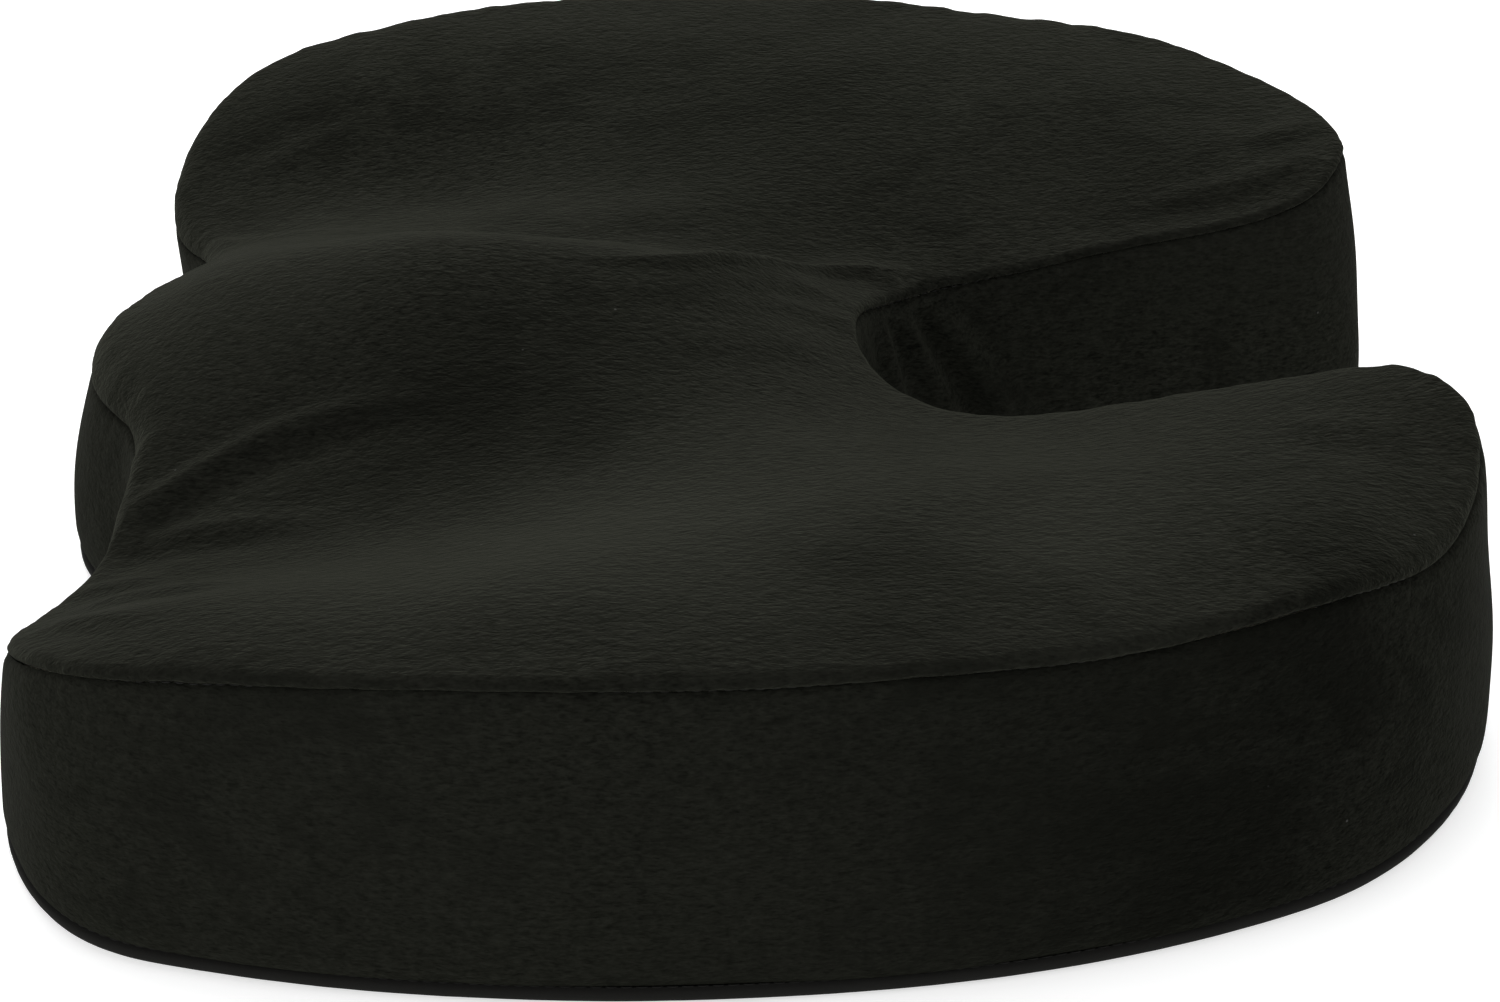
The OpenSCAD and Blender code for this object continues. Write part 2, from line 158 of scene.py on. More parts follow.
def spline(points, step=1.0):
    """A smooth line through the points (Catmull-Rom)."""
    q = np.array(points, float)
    q = np.concatenate([2 * q[:1] - q[1:2], q, 2 * q[-1:] - q[-2:-1]])
    out = []
    for i in range(1, len(q) - 2):
        a, b, c, d = q[i - 1:i + 3]
        n = max(2, int(np.hypot(*(c - b)[:2]) / step))
        t = np.linspace(0, 1, n, endpoint=False)[:, None]
        out.append(0.5 * (2 * b + (c - a) * t + (2 * a - 5 * b + 4 * c - d) * t ** 2
                          + (3 * b - a - 3 * c + d) * t ** 3))
    return np.concatenate(out + [q[-2:-1]])


def along(line, x, y):
    """Signed distance to the left of a line, and the share of its length reached."""
    s = np.zeros(len(x))
    best = np.full(len(x), 1e9)
    t = np.zeros(len(x))
    tan = np.gradient(line, axis=0)
    tan /= np.linalg.norm(tan, axis=1, keepdims=True)
    for i, (c, d) in enumerate(zip(line, tan)):
        dx, dy = x - c[0], y - c[1]
        r = dx * dx + dy * dy
        m = r < best
        best[m] = r[m]
        side = d[0] * dy[m] - d[1] * dx[m]
        s[m] = np.where(side < 0, -1, 1) * np.sqrt(r[m])
        t[m] = i / (len(line) - 1)
    return s, t


# ---------------------------------------------------------------- seat surface
NEAR_EDGE = P[(P[:, 0] > 96) & ((N[:, 0] > 0.3) | (P[:, 1] < 0))][::4]
NEAR_SINK, NEAR_REACH = 4.8, 26.0  # how much the near edge stands lower, and how far in

# Where this cushion stands higher or lower than the even contour
SETTLED = [
    # far side: front, middle and back
    (4.2, -150, -115, 70, 70), (2.4, -200, 20, 55, 100), (2.4, -165, 100, 50, 50),
    # near lobe: beside the notch, its back corner, and its front beside the dip
    (3.6, 62, 165, 32, 28), (-5.0, 152, 165, 36, 26), (2.0, 84, -150, 20, 20),
    # beside the ridge, behind the pommel and on it
    (-8.0, -42, -50, 24, 58), (-2.5, -5, -25, 30, 45), (-3.2, -5, -98, 38, 42),
    # far lobe beside the notch
    (-5.2, -58, 133, 30, 42),
    # the crest in front of the notch: a hollow and a rise
    (-1.8, 2, 8, 13, 24), (1.6, -17, 14, 11, 20),
]


def near_side(x, y):
    """Nearness to the outer edge on the +X side, 1 to 0."""
    x, y = np.asarray(x, float).ravel(), np.asarray(y, float).ravel()
    far = np.full(len(x), 1e9)
    for px, py in NEAR_EDGE:
        far = np.minimum(far, (x - px) ** 2 + (y - py) ** 2)
    return np.exp(-far / NEAR_REACH ** 2)


def seat_z(x, y):
    """The CAD's formula for the seat, with this cushion's own departures from it."""
    ax, v = np.abs(x), y / (DEPTH / 2)
    own = dabs(SETTLED, x, y) - NEAR_SINK * near_side(x, y)
    return (own + 75 - 6 * v ** 2 + 11 * v ** 3 + 6 * (ax / HALF_W) ** 2
            - 20 * bell((ax - 105) / 53) * ramp(-40, 110, -y)
            - 20 * bell((ax - 25) / 72) * bell((y - 54) / 66)
            + 16 * bell(x / 43) * bell((y + 87) / 72)
            + 7 * bell(x / 28) * bell((y + 8) / 34)
            - 6 * bell(x / 60) * bell((y + DEPTH / 2) / 30))


# Folds of the top panel: line, height, width, hollow beside it, its offset and width,
# and how fast the fold fades at the start and at the end
FOLDS = [
    # out of the near front dip, between the pommel and the lobe
    ([(96, -159), (91.6, -153), (81.6, -142.7), (73.9, -131.6), (67.5, -120.2), (63.5, -108.4),
      (60, -85), (59, -66)], 2.5, 4.2, -1.4, 7.5, 6.0, 0.12, 0.50),
    ([(93, -153), (93, -139), (97, -109), (101, -90)], 1.4, 4.6, -0.8, 8.0, 5.0, 0.2, 0.5),
    ([(128, -152), (136, -138), (141, -122), (144, -108)], 1.4, 5.5, -0.7, 9.0, 6.0, 0.3, 0.4),
    ([(150, -158), (160, -142), (172, -125)], 1.2, 5.0, -0.6, 8.0, 6.0, 0.3, 0.4),
    ([(110, -159), (115, -146), (121, -130)], 1.1, 4.5, -0.6, 8.0, 6.0, 0.3, 0.4),
    # from the pommel to the notch
    ([(6, -40), (3, -20), (-8, -7), (-20.5, 4), (-33, 18), (-41, 30), (-43.5, 46), (-43.5, 62)],
     3.2, 8.5, -0.2, -14.0, 8.0, 0.4, 0.55),
    ([(7, -60), (7, -44), (2, -20), (-9, -7), (-21, 4), (-33.5, 18), (-41, 30), (-43.5, 46),
      (-43.5, 62)], 1.3, 2.4, -0.45, 4.5, 2.8, 0.45, 0.04),
    ([(22, -52), (17, -30), (12, -12), (4, 6), (-6, 22)], 0.4, 4.5, -0.35, 7.0, 5.0, 0.3, 0.2),
    ([(12, -20), (2, -4), (-12, 12), (-22, 28)], 0.35, 3.2, -0.3, 5.0, 4.0, 0.3, 0.25),
    ([(38, -30), (34, -10), (27, 8), (20, 22)], 0.35, 5.0, -0.3, 8.0, 6.0, 0.4, 0.25),
    # back corner of the far lobe
    ([(-71, 104), (-74, 122), (-77, 140), (-83, 163)], 1.3, 5.0, -0.9, 8.0, 6.0, 0.4, 0.15),
    ([(-55, 112), (-56, 130), (-55, 150)], 0.9, 4.0, -0.6, 7.0, 5.0, 0.4, 0.2),
    ([(-95, 138), (-101, 152), (-108, 166)], 0.9, 5.0, -0.6, 8.0, 6.0, 0.4, 0.2),
    # the same on the near lobe, softer
    ([(88, 118), (94, 138), (98, 160)], 0.6, 7.0, -0.4, 11.0, 7.0, 0.4, 0.3),
    ([(160, 60), (178, 72), (196, 80)], 0.5, 7.0, -0.3, 10.0, 7.0, 0.4, 0.3),
    # out of the far front dip
    ([(-96, -159), (-84, -143), (-74, -122), (-68, -98)], 1.2, 5.0, -0.6, -8.0, 6.0, 0.15, 0.5),
    ([(-128, -152), (-138, -130), (-146, -108)], 0.8, 6.0, -0.4, -9.0, 6.0, 0.3, 0.4),
]
TOP_WAVES = [(0.28, Waves(3, 62.0)), (0.05, Waves(4, 24.0)), (0.015, Waves(5, 9.0))]


def relief(x, y):
    """What the cloth adds to the foam's contour."""
    z = sum(high * wave(x, y) for high, wave in TOP_WAVES)
    for pts, high, wide, low, off, low_w, fade_in, fade_out in FOLDS:
        line = spline(pts)
        s, t = along(line, x, y)
        near = np.abs(s) < abs(off) + 4 * max(wide, low_w)
        grow = ramp(0, fade_in, t) * ramp(0, fade_out, 1 - t)
        width = wide * (0.75 + 0.45 * t)
        f = high * bell(s / width) + low * bell((s + off) / low_w)
        z = z + np.where(near, f * grow, 0)
    return z


# ---------------------------------------------------------------- mesh helpers
def new_mesh(name, verts, faces, smooth=True):
    """A mesh from points in millimetres, riding with the cushion."""
    me = bpy.data.meshes.new(name)
    me.from_pydata((np.asarray(verts, float) * MM).tolist(), [], [list(map(int, f)) for f in faces])
    me.validate()
    me.update()
    if smooth:
        me.polygons.foreach_set("use_smooth", [True] * len(me.polygons))
    ob = bpy.data.objects.new(name, me)
    bpy.context.scene.collection.objects.link(ob)
    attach(ob, "cushion")
    return ob


def strip_faces(rows, cols, closed=True):
    """Quads of a grid of rows by cols points, rows outermost. Closed joins the last column to the first."""
    r = np.arange(rows - 1)[:, None]
    c = np.arange(cols if closed else cols - 1)[None]
    a = r * cols + c
    b = r * cols + (c + 1) % cols
    return np.stack([a, b, b + cols, a + cols], -1).reshape(-1, 4)


def capped_faces(rows, cols):
    """The quads of a closed grid, with a face over each end."""
    ends = [tuple(range(cols))[::-1], tuple((rows - 1) * cols + np.arange(cols))]
    return [tuple(q) for q in strip_faces(rows, cols)] + ends


def weight(ob, name, values):
    """A number at each point that the materials read."""
    at = ob.data.attributes.new(name, "FLOAT", "POINT")
    at.data.foreach_set("value", np.asarray(values, np.float32))


# ---------------------------------------------------------------- the cover's edges
def spot(x, y, r):
    """Nearness to a place on the plan, 1 to 0."""
    return bell((P[:, 0] - x) / r) * bell((P[:, 1] - y) / r)


right, left = P[:, 0] > 0, P[:, 0] < 0
to_front, to_back = ramp(0.2, 0.8, -N[:, 1]), ramp(0.1, 0.8, N[:, 1])
in_notch = (np.abs(P[:, 0]) < 92) & (P[:, 1] > 20) & (N[:, 0] * np.sign(P[:, 0]) < 0.3)
facing = np.degrees(np.arctan2(N[:, 1], N[:, 0]))
# lean is the distance in at the top seam, and foot the distance in at the floor. The walls lean in
# most at the back and on the pommel, and hardly at all inside the notch
lean = np.where(right, 4.4 + 3.4 * to_back, 1.2 - 4.2 * to_front + 8.6 * to_back)
lean = np.where((np.abs(P[:, 0]) < 62) & (P[:, 1] < -100), 7.2, lean)
lean = np.where(in_notch, 0.6 + np.where(right, 8.6, 9.6) * ramp(0.1, 0.75, N[:, 1])
                * ramp(125, 160, P[:, 1]), lean)
lean = lean - 9.0 * spot(74, -152, 18) - 2.0 * spot(-72, -152, 16)
foot = np.where(right & (P[:, 1] > -40), -0.6, 0.0) + np.where(right, 1.6 * to_back, 0)
near_foot = 1.6 * bell(P[:, 1] / 60) - 5.6 * bell((facing + 30) / 20) - 2.2 * bell((facing - 34) / 22)
foot = foot + np.where(right & (P[:, 0] > 84), near_foot, 0)
foot = np.where(left & (P[:, 1] > 60), 6.4 * to_back, foot)
# edge is the radius of the top edge: crisp in the notch and along the near side, round on the pommel
edge = np.where(right, 3.2 + 0.5 * ramp(55, 100, P[:, 1]), 6.0 - 2.5 * ramp(60, 110, P[:, 1]))
edge = edge + 1.5 * spot(148, 158, 24)
edge = np.where(in_notch, 2.6, edge)
edge = np.where((np.abs(P[:, 0]) < 70) & (P[:, 1] < -90), 8.0, edge)
foot = np.where(in_notch, 0.0, foot)
SOFTEN = 18  # columns to each side that a change is spread over
kern = np.hanning(2 * SOFTEN + 1)
kern /= kern.sum()
lean, foot, edge = [np.convolve(np.concatenate([a[-SOFTEN:], a, a[:SOFTEN]]), kern, "valid")
                    for a in (lean, foot, edge)]

TOP = P - lean[:, None] * N
z_seam = seat_z(TOP[:, 0], TOP[:, 1]) - edge
gather = Waves(11, 15.0, dims=1, count=16)
fine_gather = Waves(12, 6.0, dims=1, count=16)
wander = Waves(13, 90.0, dims=1, count=10)
z_seam = z_seam + 0.3 * wander(ARC) + 0.04 * gather(ARC)
# The small gathers beside a seam
PUCK = 0.07 * gather(ARC) + 0.05 * fine_gather(ARC)

TURNS = [0, 4, 9, 15, 22, 31, 42, 55, 70, 90]  # angles of the top panel's rings round its edge
LAST_RING = 9.0  # distance in of the ring after them
TUCK = 1.3  # how far both cloths turn in at a seam
AT_ONCE = 6000  # points compared with the outline in one go
ROW_GAP = 0.866  # rows of a triangular grid, as a share of its spacing


def inside_by(x, y, line):
    """How far inside a line with the outline's directions each point lies."""
    out = np.zeros(len(x))
    for lo in range(0, len(x), AT_ONCE):
        sl = slice(lo, lo + AT_ONCE)
        k = ((x[sl, None] - line[None, :, 0]) ** 2 + (y[sl, None] - line[None, :, 1]) ** 2).argmin(1)
        out[sl] = -((x[sl] - line[k, 0]) * N[k, 0] + (y[sl] - line[k, 1]) * N[k, 1])
    return out


def fill(ring, line, inset, cell, height):
    """Vertices and triangles inside a ring: a grid of points joined to it. Ring points come first."""
    gx, gy = np.meshgrid(np.arange(-HALF_W, HALF_W, cell),
                         np.arange(-DEPTH / 2, DEPTH / 2, cell * ROW_GAP))
    gx = gx + (np.arange(len(gy)) % 2)[:, None] * cell / 2
    gx, gy = gx.ravel(), gy.ravel()
    keep = inside_by(gx, gy, line) > inset
    flat = np.concatenate([ring[:, :2], np.column_stack([gx[keep], gy[keep]])])
    points, _, tris, sources, _, _ = delaunay_2d_cdt(
        [Vector(v) for v in flat.tolist()], [], [list(range(len(ring)))], 1, 1e-4)
    order = {i: src for i, back in enumerate(sources) for src in back if src < len(ring)}
    ids = np.zeros(len(points), int)
    inner = [i for i in range(len(points)) if i not in order]
    for i, src in order.items():
        ids[i] = src
    ids[inner] = len(ring) + np.arange(len(inner))
    xy = np.array([tuple(points[i]) for i in inner])
    v = np.column_stack([xy, height(xy[:, 0], xy[:, 1])])
    return v, [tuple(ids[list(f)]) for f in tris]


def closed_skin(rings, line, inset, cell, height, upwards=True):
    """Rings of COLS points joined in turn, with the last one filled in."""
    inner, tris = fill(rings[-1], line, inset, cell, height)
    base = (len(rings) - 1) * COLS
    tris = [tuple(base + np.array(f)) for f in tris]
    quads = [tuple(f) for f in strip_faces(len(rings), COLS)]
    if not upwards:
        tris, quads = [t[::-1] for t in tris], [q[::-1] for q in quads]
    return np.concatenate([np.concatenate(rings), inner]), quads + tris


rings = []
lift_seam = z_seam + edge - seat_z(TOP[:, 0], TOP[:, 1])
steps = [(edge * (1 - np.cos(a)), edge * np.sin(a)) for a in np.radians(TURNS)]
for d, rise in steps + [(LAST_RING + 0 * edge, edge)]:
    p = TOP - (d + TUCK * np.exp(-rise / 0.6))[:, None] * N
    h = seat_z(p[:, 0], p[:, 1]) - edge + rise + lift_seam * bell(d / 7.0)
    h = h + relief(p[:, 0], p[:, 1]) * (0.3 + 0.7 * ramp(0, 7, d))
    p = p + (PUCK * np.exp(-((rise / edge - 0.45) / 0.3) ** 2) * (1 - ramp(3, 7, d)))[:, None] * N
    h = h + PUCK * 1.4 * np.exp(-((d - 5.0) / 4.0) ** 2)
    rings.append(np.column_stack([p, h]))


def top_height(x, y):
    """The top panel's height: the foam's contour and the cloth's relief."""
    return seat_z(x, y) + relief(x, y)


cover_top = new_mesh("cover_top_plush",
                     *closed_skin(rings, TOP, inset=LAST_RING + 1.3, cell=1.9, height=top_height))
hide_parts("cover_top")

# ---------------------------------------------------------------- side band
BAND_LOW = 4.3  # the bottom seam's height
slow_side = Waves(21, 70.0, dims=2)
mid_side = Waves(22, 26.0, dims=2)
from_notch = ARC - ARC[I_NOTCH]
# Slanting folds in the notch: way from its front end at the top seam, drift towards the floor, height, width
WALL_FOLDS = [
    (24.0, 18.0, 2.0, 2.4), (33.0, 26.0, 3.8, 3.0), (45.0, 32.0, 3.2, 4.0), (12.0, 12.0, 0.9, 4.0),
    (-16.0, -8.0, 0.9, 5.0), (-34.0, -9.0, 0.7, 5.0), (64.0, 9.0, 0.7, 6.0),
]

# The zipper's arc on the -X side
hub = np.array([-SIDE_C[0], SIDE_C[1]])
ang = np.degrees(np.arctan2(P[:, 1] - hub[1], P[:, 0] - hub[0])) % 360
on_zip = (np.abs(np.hypot(*(P - hub).T) - SIDE_R) < 0.05) & (P[:, 0] < 0)
zip_cols = np.where(on_zip)[0]
band_cols = np.concatenate([np.arange(zip_cols[-1], COLS), np.arange(0, zip_cols[0] + 1)])
JOINS = (zip_cols[0], zip_cols[-1])


def around(s):
    """A difference of ways along the outline, taken the shorter way round."""
    return (s + GIRTH / 2) % GIRTH - GIRTH / 2


# The wall stands upright beside the zipper and a little way beyond its ends
zip_mid = (ARC[JOINS[0]] + ARC[JOINS[1]]) / 2
zip_reach = (ARC[JOINS[1]] - ARC[JOINS[0]]) / 2
BY_ZIP = ramp(50, 2, np.abs(around(ARC - zip_mid)) - zip_reach)
foot = foot * (1 - BY_ZIP)


def band_offset(z):
    """Distance in from the CAD wall at each column and height z (arrays: rows by columns)."""
    span = z_seam - BAND_LOW
    t = (z - BAND_LOW) / span
    o = foot + (lean - foot) * (np.clip(t, 0, 1) ** 1.7)
    o = o - 1.0 * np.sin(np.pi * np.clip(t, 0, 1)) * ramp(0, 60, span)
    o = o + TUCK * np.exp(-(z - BAND_LOW) / 1.1) + TUCK * np.exp(-(z_seam - z) / 0.8)
    o = o + 0.4 * ramp(6, 0, z - BAND_LOW)
    o = o - 0.25 * slow_side(ARC + 0 * z, z * 1.4) - 0.06 * mid_side(ARC + 0 * z, z)
    for c in JOINS:  # the cloth turns in at the upright seams
        o = o + 0.9 * np.exp(-np.abs(around(ARC - ARC[c])) / 1.0)
    near_top = np.exp(-((z_seam - z) / 6.0) ** 2)
    o = o - PUCK * 0.8 * near_top * ramp(0, 1.5, z_seam - z)
    low = np.exp(-((z - BAND_LOW) / 6.0) ** 2)
    o = o - 0.5 * np.roll(PUCK, 37) * low * ramp(0, 1.5, z - BAND_LOW)
    for place, drift, high, wide in WALL_FOLDS:
        c = around(from_notch - place - drift * (1 - t))
        w = wide * (1.0 + 0.5 * (1 - t))
        f = high * bell(c / w) - 0.5 * high * bell((c - 1.9 * w) / w)
        o = o - f * ramp(0, 0.12, t) * ramp(0, 0.22, 1 - t)
    return o


def zip_offset(z):
    """Distance in beside the zipper: upright there, then as the rest of the band."""
    o = band_offset(z)
    return o * ramp(28, 46, z) + np.clip(o, -0.3, 0.1) * (1 - ramp(28, 46, z))


def wall(name, cols, z, o):
    """A strip of the side wall over a run of columns: heights z and distances in o, rows by columns."""
    v = np.stack([P[None, :, 0] - o * N[None, :, 0], P[None, :, 1] - o * N[None, :, 1], z + 0 * o], -1)
    ob = new_mesh(name, v[:, cols].reshape(-1, 3), strip_faces(len(z), len(cols), False))
    return ob


BAND_ROWS, ROW_EASE = 36, 1.5


def long_band():
    """The long strip of the band, with its rows closer together at both edges."""
    t = np.linspace(0, 1, BAND_ROWS)
    t = np.where(t < 0.5, 0.5 * (2 * t) ** ROW_EASE, 1 - 0.5 * (2 * (1 - t)) ** ROW_EASE)
    z = BAND_LOW + (z_seam - BAND_LOW) * t[:, None]
    turned_in = TUCK * np.exp(-(z - BAND_LOW) / 1.1)
    o = band_offset(z) * (1 - BY_ZIP) + (zip_offset(z) + turned_in) * BY_ZIP
    return wall("side_band_plush", band_cols, z, o)


side_band = long_band()
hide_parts("side_band")
ZIP_Z, ZIP_HALF = 24.0, 4.0  # the zipper's middle above the floor, and half of the slot
STITCH_UP = 6.5  # of the tape's stitch lines from the zipper's middle


def zip_wall(name, z_low, z_top, n, folded_low):
    """A strip of n rows beside the zipper, its lower or upper edge turned in towards the tape."""
    z = z_low + (z_top - z_low) * np.linspace(0, 1, n)[:, None]
    o = zip_offset(z)
    if folded_low:
        o = o + TUCK * np.exp(-(z - z_low) / 0.9)
    else:
        o = o + TUCK * np.exp(-(z_top - z) / 0.9) + TUCK * np.exp(-(z - z_low) / 1.1)
    for line in (ZIP_Z + STITCH_UP, ZIP_Z - STITCH_UP):  # the stitches pull the cloth in a little
        o = o + 0.35 * bell((z - line) / 0.9)
    return wall(name, zip_cols, z, o)


floor_z, slot_low, slot_top = [np.full((1, COLS), z) for z in (BAND_LOW, ZIP_Z - ZIP_HALF, ZIP_Z + ZIP_HALF)]
upper = zip_wall("zipper_band_upper_plush", slot_top, z_seam[None], n=44, folded_low=True)
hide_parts("zipper_band_upper")
lower = zip_wall("zipper_band_lower_plush", floor_z, slot_low, n=26, folded_low=False)
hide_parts("zipper_band_lower")

# ---------------------------------------------------------------- bottom panel
UNDER = 0.45  # the panel's height between its dots
# The rolled rim: height, and distance in from the band's foot
RIM = [(BAND_LOW, TUCK + 0.4), (3.9, 0.7), (3.2, 0.35), (2.2, 0.45), (1.3, 1.0), (0.75, 1.9), (0.5, 3.6),
       (UNDER, 8.0)]
rings = []
for z, d in RIM:
    p = P - (d + foot[:, None]) * N
    bulge = 0.25 * np.roll(PUCK, 11) * np.exp(-((z - 2.5) / 2.0) ** 2)
    rings.append(np.column_stack([p + bulge[:, None] * N, np.full(COLS, z)]))
bottom = new_mesh("cover_bottom_cloth",
                  *closed_skin(rings, P, inset=11.0, cell=6.0, height=lambda x, y: UNDER + 0 * x,
                               upwards=False))
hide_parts("cover_bottom")

# ---------------------------------------------------------------- foam core
SKIN = 4.4  # room that the cover takes
rings = []
for t in [0.0, 0.03, 0.2, 0.4, 0.6, 0.8, 0.93, 1.0]:  # share of the wall's height
    z = (BAND_LOW + 1.5 + t * (z_seam - BAND_LOW - 3.0))[None]
    o = np.maximum(band_offset(z)[0], 0) + SKIN + (1.2 if t in (0.0, 1.0) else 0)
    rings.append(np.column_stack([P - o[:, None] * N, z[0]]))
for a in (30, 60, 90):  # degrees round the top edge
    p = TOP - (SKIN + 1.5 + edge * (1 - np.cos(np.radians(a))))[:, None] * N
    rise = edge * np.sin(np.radians(a)) - SKIN - 0.6
    rings.append(np.column_stack([p, seat_z(p[:, 0], p[:, 1]) - edge + rise + lift_seam * 0.3]))
foam_v, foam_f = closed_skin(rings, TOP, inset=LAST_RING + 7, cell=5.0,
                             height=lambda x, y: seat_z(x, y) - SKIN - 1.2)
low_v, low_f = fill(rings[0], P, inset=LAST_RING + 4, cell=9.0, height=lambda x, y: BAND_LOW - 1.3 + 0 * x)
low_ids = np.concatenate([np.arange(COLS), len(foam_v) + np.arange(len(low_v))])
foam_f = foam_f + [tuple(low_ids[list(f)][::-1]) for f in low_f]
foam_block = new_mesh("foam_core_block", np.concatenate([foam_v, low_v]), foam_f)
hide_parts("foam_core")

# ---------------------------------------------------------------- seam stitches
SIDES = 6  # of a thread and of a tooth's wire
# Rings of one stitch: place along it from -1 to 1, and share of its radius
ring_t = np.array([-1.0, -0.86, -0.45, 0.0, 0.45, 0.86, 1.0])
ring_r = np.array([0.25, 0.75, 1.0, 1.0, 1.0, 0.75, 0.25])


def tube_ring(middle, r, u, w):
    """Rings of points of radius r round the middles, in the planes of u and w."""
    ph = 2 * np.pi * np.arange(SIDES) / SIDES
    ring = np.cos(ph)[None, :, None] * u[:, None] + np.sin(ph)[None, :, None] * w[:, None]
    return (middle[:, None] + r * ring).reshape(-1, 3)


def stitch_row(name, path, out, start=0.0, end=None, pitch=3.2, long=2.4, r=0.2):
    """A row of short thread capsules along a path. out is the direction away from the cloth."""
    lengths = np.linalg.norm(np.diff(path, axis=0), axis=1)
    s = np.concatenate([[0], np.cumsum(lengths)])
    end = s[-1] if end is None else end
    count = int((end - start) / pitch)
    one = capped_faces(len(ring_t), SIDES)
    v, f = [], []
    for i in range(count):
        mid = start + (i + 0.5) * pitch
        q = mid + ring_t * long / 2
        c = np.stack([np.interp(q, s, path[:, k]) for k in range(3)], 1)
        u = np.stack([np.interp(q, s, out[:, k]) for k in range(3)], 1)
        u /= np.linalg.norm(u, axis=1, keepdims=True)
        t = np.gradient(c, axis=0)
        t /= np.linalg.norm(t, axis=1, keepdims=True)
        w = np.cross(t, u)
        c = c - u * (np.abs(ring_t) ** 3)[:, None] * r * 1.4
        base = len(v) * len(ring_t) * SIDES
        v.append(tube_ring(c, (ring_r * r)[:, None, None], u, w))
        f += [tuple(base + np.array(k)) for k in one]
    ob = new_mesh(name, np.concatenate(v), f)
    return ob


def loop(a):
    """The rows of a with the first one again at the end."""
    return np.concatenate([a, a[:1]])


out3 = np.column_stack([N, np.zeros(COLS)])
top_line = np.column_stack([TOP - (TUCK + 0.15) * N, z_seam])
seam_top = stitch_row("top_seam_stitches", loop(top_line), loop(out3))
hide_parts("top_seam_thread")
low_line = np.column_stack([P - (TUCK + 0.3 + foot[:, None]) * N, 0 * z_seam + BAND_LOW])
seam_low = stitch_row("bottom_seam_stitches", loop(low_line), loop(out3))
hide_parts("bottom_seam_thread")

# Upright seams where the long band meets the zipper strips
SEAM_END = 1.5  # where they stop short of the other seams
join_rows = []
for name, c in (("band_seam_stitches_rear", JOINS[0]), ("band_seam_stitches_front", JOINS[1])):
    z = np.linspace(BAND_LOW + SEAM_END, z_seam[c] - SEAM_END, 40)
    o = band_offset(z[:, None] + 0 * ARC)[:, c]
    path = np.column_stack([P[c] - o[:, None] * N[c], z])
    join_rows.append(stitch_row(name, path, np.repeat(out3[c][None], len(z), 0)))
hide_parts("band_seam_threads")

# ---------------------------------------------------------------- zipper
ZIP_SPAN = ang[JOINS[0]], ang[JOINS[1]]


def on_arc(degrees, r, z):
    """Points round the zipper's centre."""
    a = np.radians(degrees)
    return np.column_stack([hub[0] + r * np.cos(a), hub[1] + r * np.sin(a), z + 0 * a])


tape_rows = []
for up, name in ((1, "zipper_stitches_upper"), (-1, "zipper_stitches_lower")):
    c, z = zip_cols, ZIP_Z + up * STITCH_UP
    o = zip_offset(np.full((1, COLS), z))[0, c]
    path = np.column_stack([P[c] - (o + 0.05)[:, None] * N[c], np.full(len(c), z)])
    last = ARC[c[-1]] - ARC[c[0]] - 2.0
    tape_rows.append(stitch_row(name, path, out3[c], 2.0, last, pitch=2.8, long=2.1, r=0.24))
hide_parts("zipper_stitching")

COIL_R, COIL_Z = 298.9, 1.45  # middle of a row of teeth: radius, and height from the zipper's middle
COIL_DEEP, COIL_HIGH = 0.72, 1.0  # half sizes of the wound spiral, outwards and upwards
TOOTH_PITCH, WIRE, PER_TURN = 1.5, 0.24, 14  # spacing, the wire's radius, rings in a turn


def coil_row(name, node, up, phase):
    """A row of zipper teeth: one monofilament wound in a flattened spiral."""
    co = np.array([v.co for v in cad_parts[node].data.vertices]) / MM
    span_a = np.degrees(np.arctan2(co[:, 1] - hub[1], co[:, 0] - hub[0])) % 360
    length = np.radians(span_a.max() - span_a.min()) * COIL_R
    turns = int(length / TOOTH_PITCH)
    t = np.linspace(0, 1, turns * PER_TURN + 1)
    a = np.radians(span_a.min() + t * (span_a.max() - span_a.min()))
    w = 2 * np.pi * (t * turns) + phase
    r = COIL_R + COIL_DEEP * np.cos(w)
    z = ZIP_Z + up * COIL_Z + COIL_HIGH * np.sin(w)
    c = np.column_stack([hub[0] + r * np.cos(a), hub[1] + r * np.sin(a), z])
    tan = np.gradient(c, axis=0)
    tan /= np.linalg.norm(tan, axis=1, keepdims=True)
    u = np.cross(tan, [0, 0, 1.0])
    u /= np.linalg.norm(u, axis=1, keepdims=True)
    ob = new_mesh(name, tube_ring(c, WIRE, u, np.cross(tan, u)), capped_faces(len(c), SIDES))
    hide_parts(node)
    return ob


# Cloth behind the ends of the slot, which is a little longer than the tapes
PATCH_R, PATCH_T, PATCH_H = 297.2, 0.5, 7.6  # outer radius, thickness, half height
PATCH_DEG, PATCH_UNDER = 1.3, 1.8  # degrees that show in the slot, and that go on under the band
cross = [(PATCH_R - PATCH_T, -PATCH_H), (PATCH_R, -PATCH_H), (PATCH_R, 0), (PATCH_R, PATCH_H),
         (PATCH_R - PATCH_T, PATCH_H)]


def end_patch(name, start, end, rows=7):
    """A patch between two directions in degrees."""
    v = [on_arc(np.array([q]), r, ZIP_Z + z)[0] for q in np.linspace(start, end, rows) for r, z in cross]
    ob = new_mesh(name, v, capped_faces(rows, len(cross)), smooth=False)
    return ob


end_patches = [
    end_patch("zipper_end_patch_rear", ZIP_SPAN[0] - PATCH_UNDER, ZIP_SPAN[0] + PATCH_DEG),
    end_patch("zipper_end_patch_front", ZIP_SPAN[1] - PATCH_DEG, ZIP_SPAN[1] + PATCH_UNDER),
]

